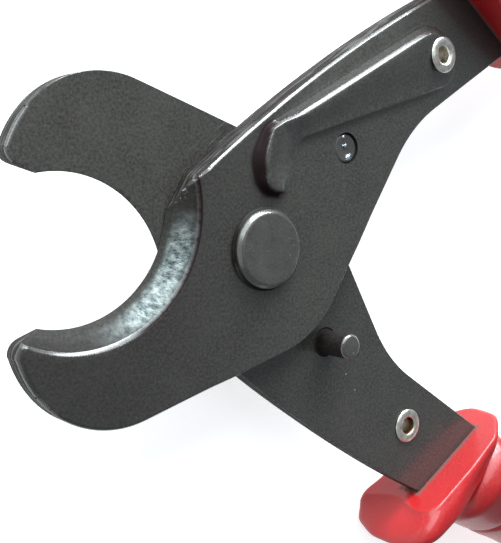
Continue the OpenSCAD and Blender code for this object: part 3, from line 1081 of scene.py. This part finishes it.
def hand_guard():
    """A swollen disc that flares to a sharp corner, with a flat slope on its wide end, and a collar."""
    # Outlines at the front face, half way up the swell and at the widest: (along, across, radius)
    face = [(31.2, 20.2, 1.0), (19.8, 17.4, 9), (0, 16.8, 40), (-24, 14.5, 9), (-31, 6, 8), (-30, -8, 8)]
    face += [(-18, -15.8, 12), (0, -17.2, 60), (28.0, -17.0, 8), (29.4, -9.5, 8), (25.4, 3.5, 16)]
    mid = [(33.8, 21.2, 2), (16, 19.5, 20), (-28.5, 16.3, 9), (-34.4, 7, 8), (-33, -6, 8)]
    mid += [(-18, -16.6, 14), (15, -19.8, 40), (34, -18.8, 9), (37, -6, 10), (36.8, 8, 12)]
    widest = [(37.4, 20.2, 4), (16, 20.6, 20), (-28, 15.8, 9), (-34.4, 7, 8), (-32.6, -5, 8)]
    widest += [(-18, -14.2, 14), (18, -20.4, 30), (36.5, -19.4, 9), (42.4, -5, 8), (42.4, 8, 8)]
    # Rings from the middle of the front face outwards, and in again on the back: depth, outline, scale
    steps = [(0.9, face, 0.02), (0.9, face, 0.5), (0.9, face, 0.9), (0.75, face, 0.97)]
    steps += [(0.9, face, 0.995), (1.4, face, 1.02), (2.2, face, 1.05), (4.0, mid, 1.0)]
    steps += [(7.2, widest, 0.995), (8.6, widest, 1.0), (10.0, widest, 0.985)]
    steps += [(11.0, widest, 0.93), (11.4, widest, 0.8), (11.4, widest, 0.45)]
    verts, faces = loft([ray_ring(*step) for step in steps])
    verts = moved(verts, across_guard())
    # Radius and place along the handle
    collar = [(14.2, 10.0), (19.0, 13.0), (22.0, 17.0), (21.2, 24.0), (19.9, 38.0), (14.2, 38.0)]
    collar_verts, collar_faces = lathe(bend_round(collar, 3.0))
    collar_verts = moved(collar_verts, along_handle())
    all_verts = np.vstack([verts, collar_verts])
    all_faces = faces + [tuple(np.array(f) + len(verts)) for f in collar_faces]
    pair = both_halves("insulated_hand_guard", all_verts, all_faces, RED, "hand_guard")
    subdivide(pair, 1)


def grip():
    """The sleeve, thicker at both ends and slim where the hand holds it."""
    profile = [(14.1, 38.3), (19.7, 38.3), (19.7, 43), (18.2, 56), (17.5, 70), (17.5, 150), (17.6, 225)]
    profile += [(18.4, 250), (19.4, 272), (19.5, 299.7), (14.1, 299.7)]
    verts, faces = lathe(bend_round(profile, 4.0))
    faces = [f for f in faces if len(f) == 4]
    verts = moved(verts, along_handle())
    both_halves("insulated_grip", verts, faces, RED, "grip")


def end_cap():
    """A half ball with a plug that goes into the tube."""
    r = 19.5
    plug_r = 11.4
    plug_start = HANDLE_LEN - 22
    profile = [(0.05, plug_start), (plug_r, plug_start), (plug_r, HANDLE_LEN)]
    profile += [(r - 0.6, HANDLE_LEN), (r, HANDLE_LEN + 0.6)]
    for t in np.radians(np.arange(6, 90, 6)):
        profile.append((r * math.cos(t), HANDLE_LEN + r * math.sin(t)))
    profile.append((0.05, HANDLE_LEN + r))
    verts, faces = lathe(profile)
    verts = moved(verts, along_handle())
    both_halves("domed_end_cap", verts, faces, RED, "end_cap")


hand_guard()
grip()
end_cap()


# ---------------------------------------------------------------- CAD nodes that stay


def dress(node, material):
    """Gives a CAD part that stays in view its material."""
    obj = frame["nodes"][node]
    obj.data.materials.clear()
    obj.data.materials.append(material)


for side in ("front", "rear"):
    dress(side + "_pivot_bush", BRONZE)
    dress(side + "_handle_tube", PLATED)
    dress(side + "_tang_rivets", PLATED)
# The head washer wears the near-black sheared-edge lacquer as painted shade round the bolt head.
dress("head_washer", SHEARED_EDGE_AND_SHADE)
dress("tail_washer", PLATED)
dress("disc_spring", SPRING)
dress("nut_lock_ring", NYLON)


# ---------------------------------------------------------------- stage


def floor():
    n = Nodes("pale_floor")
    shade = n.remap(n.noise(3, 2, 0.5), 0.3, 0.7)
    material = n.finish(
        Base_Color=n.mix(shade, (0.86, 0.86, 0.86, 1), (0.88, 0.88, 0.88, 1)),
        Roughness=0.9,
        Emission_Color=(1, 1, 1, 1),
        Emission_Strength=0.6,
    )
    size = 4000
    square = [(-size, -size, 0), (size, -size, 0), (size, size, 0), (-size, size, 0)]
    obj = new_object("floor", square, [(0, 1, 2, 3)], material, smooth=False)


def softbox(name, at, size_x, size_y, radiance, color=(1, 1, 1)):
    """A rectangular light at a place in millimetres from the pivot, aimed at the pivot."""
    data = bpy.data.lights.new(name, "AREA")
    data.shape = "RECTANGLE"
    data.size = size_x * MM
    data.size_y = size_y * MM
    data.color = color
    data.energy = radiance * math.pi * data.size * data.size_y
    obj = bpy.data.objects.new(name, data)
    bpy.context.scene.collection.objects.link(obj)
    obj.location = PIVOT + Vector(at) * MM
    obj.rotation_euler = (PIVOT - obj.location).to_track_quat("-Z", "Y").to_euler()


def world():
    """Plain, slightly cool light from all round."""
    w = bpy.data.worlds.new("studio")
    bpy.context.scene.world = w
    w.use_nodes = True
    background = w.node_tree.nodes["Background"]
    background.inputs["Color"].default_value = (0.82, 0.9, 1.0, 1)
    background.inputs["Strength"].default_value = 0.35


def camera():
    """The photograph's viewing angle, found by fitting the blades' outlines to it."""
    data = bpy.data.cameras.new("camera")
    data.lens = 58.87
    data.sensor_width = 36
    data.clip_start = 0.01
    data.clip_end = 20
    obj = bpy.data.objects.new("camera", data)
    bpy.context.scene.collection.objects.link(obj)
    obj.location = PIVOT + Vector((-181.41, 14.47, 232.84)) * MM
    obj.rotation_euler = [math.radians(a) for a in (-5.279, -37.895, 1.516)]
    bpy.context.scene.camera = obj


floor()
softbox("key_softbox", (-350, 1000, 620), 1900, 900, 6.0, (0.86, 0.96, 1.0))
softbox("strip_softbox", (240, 1116, 350), 1100, 400, 25.0, (0.88, 0.95, 1.0))
softbox("left_fill", (-1100, -200, 420), 1500, 700, 0.9)
softbox("top_fill", (60, 330, 1500), 700, 700, 0.9)
world()
camera()
bpy.context.scene.view_settings.view_transform = "Standard"
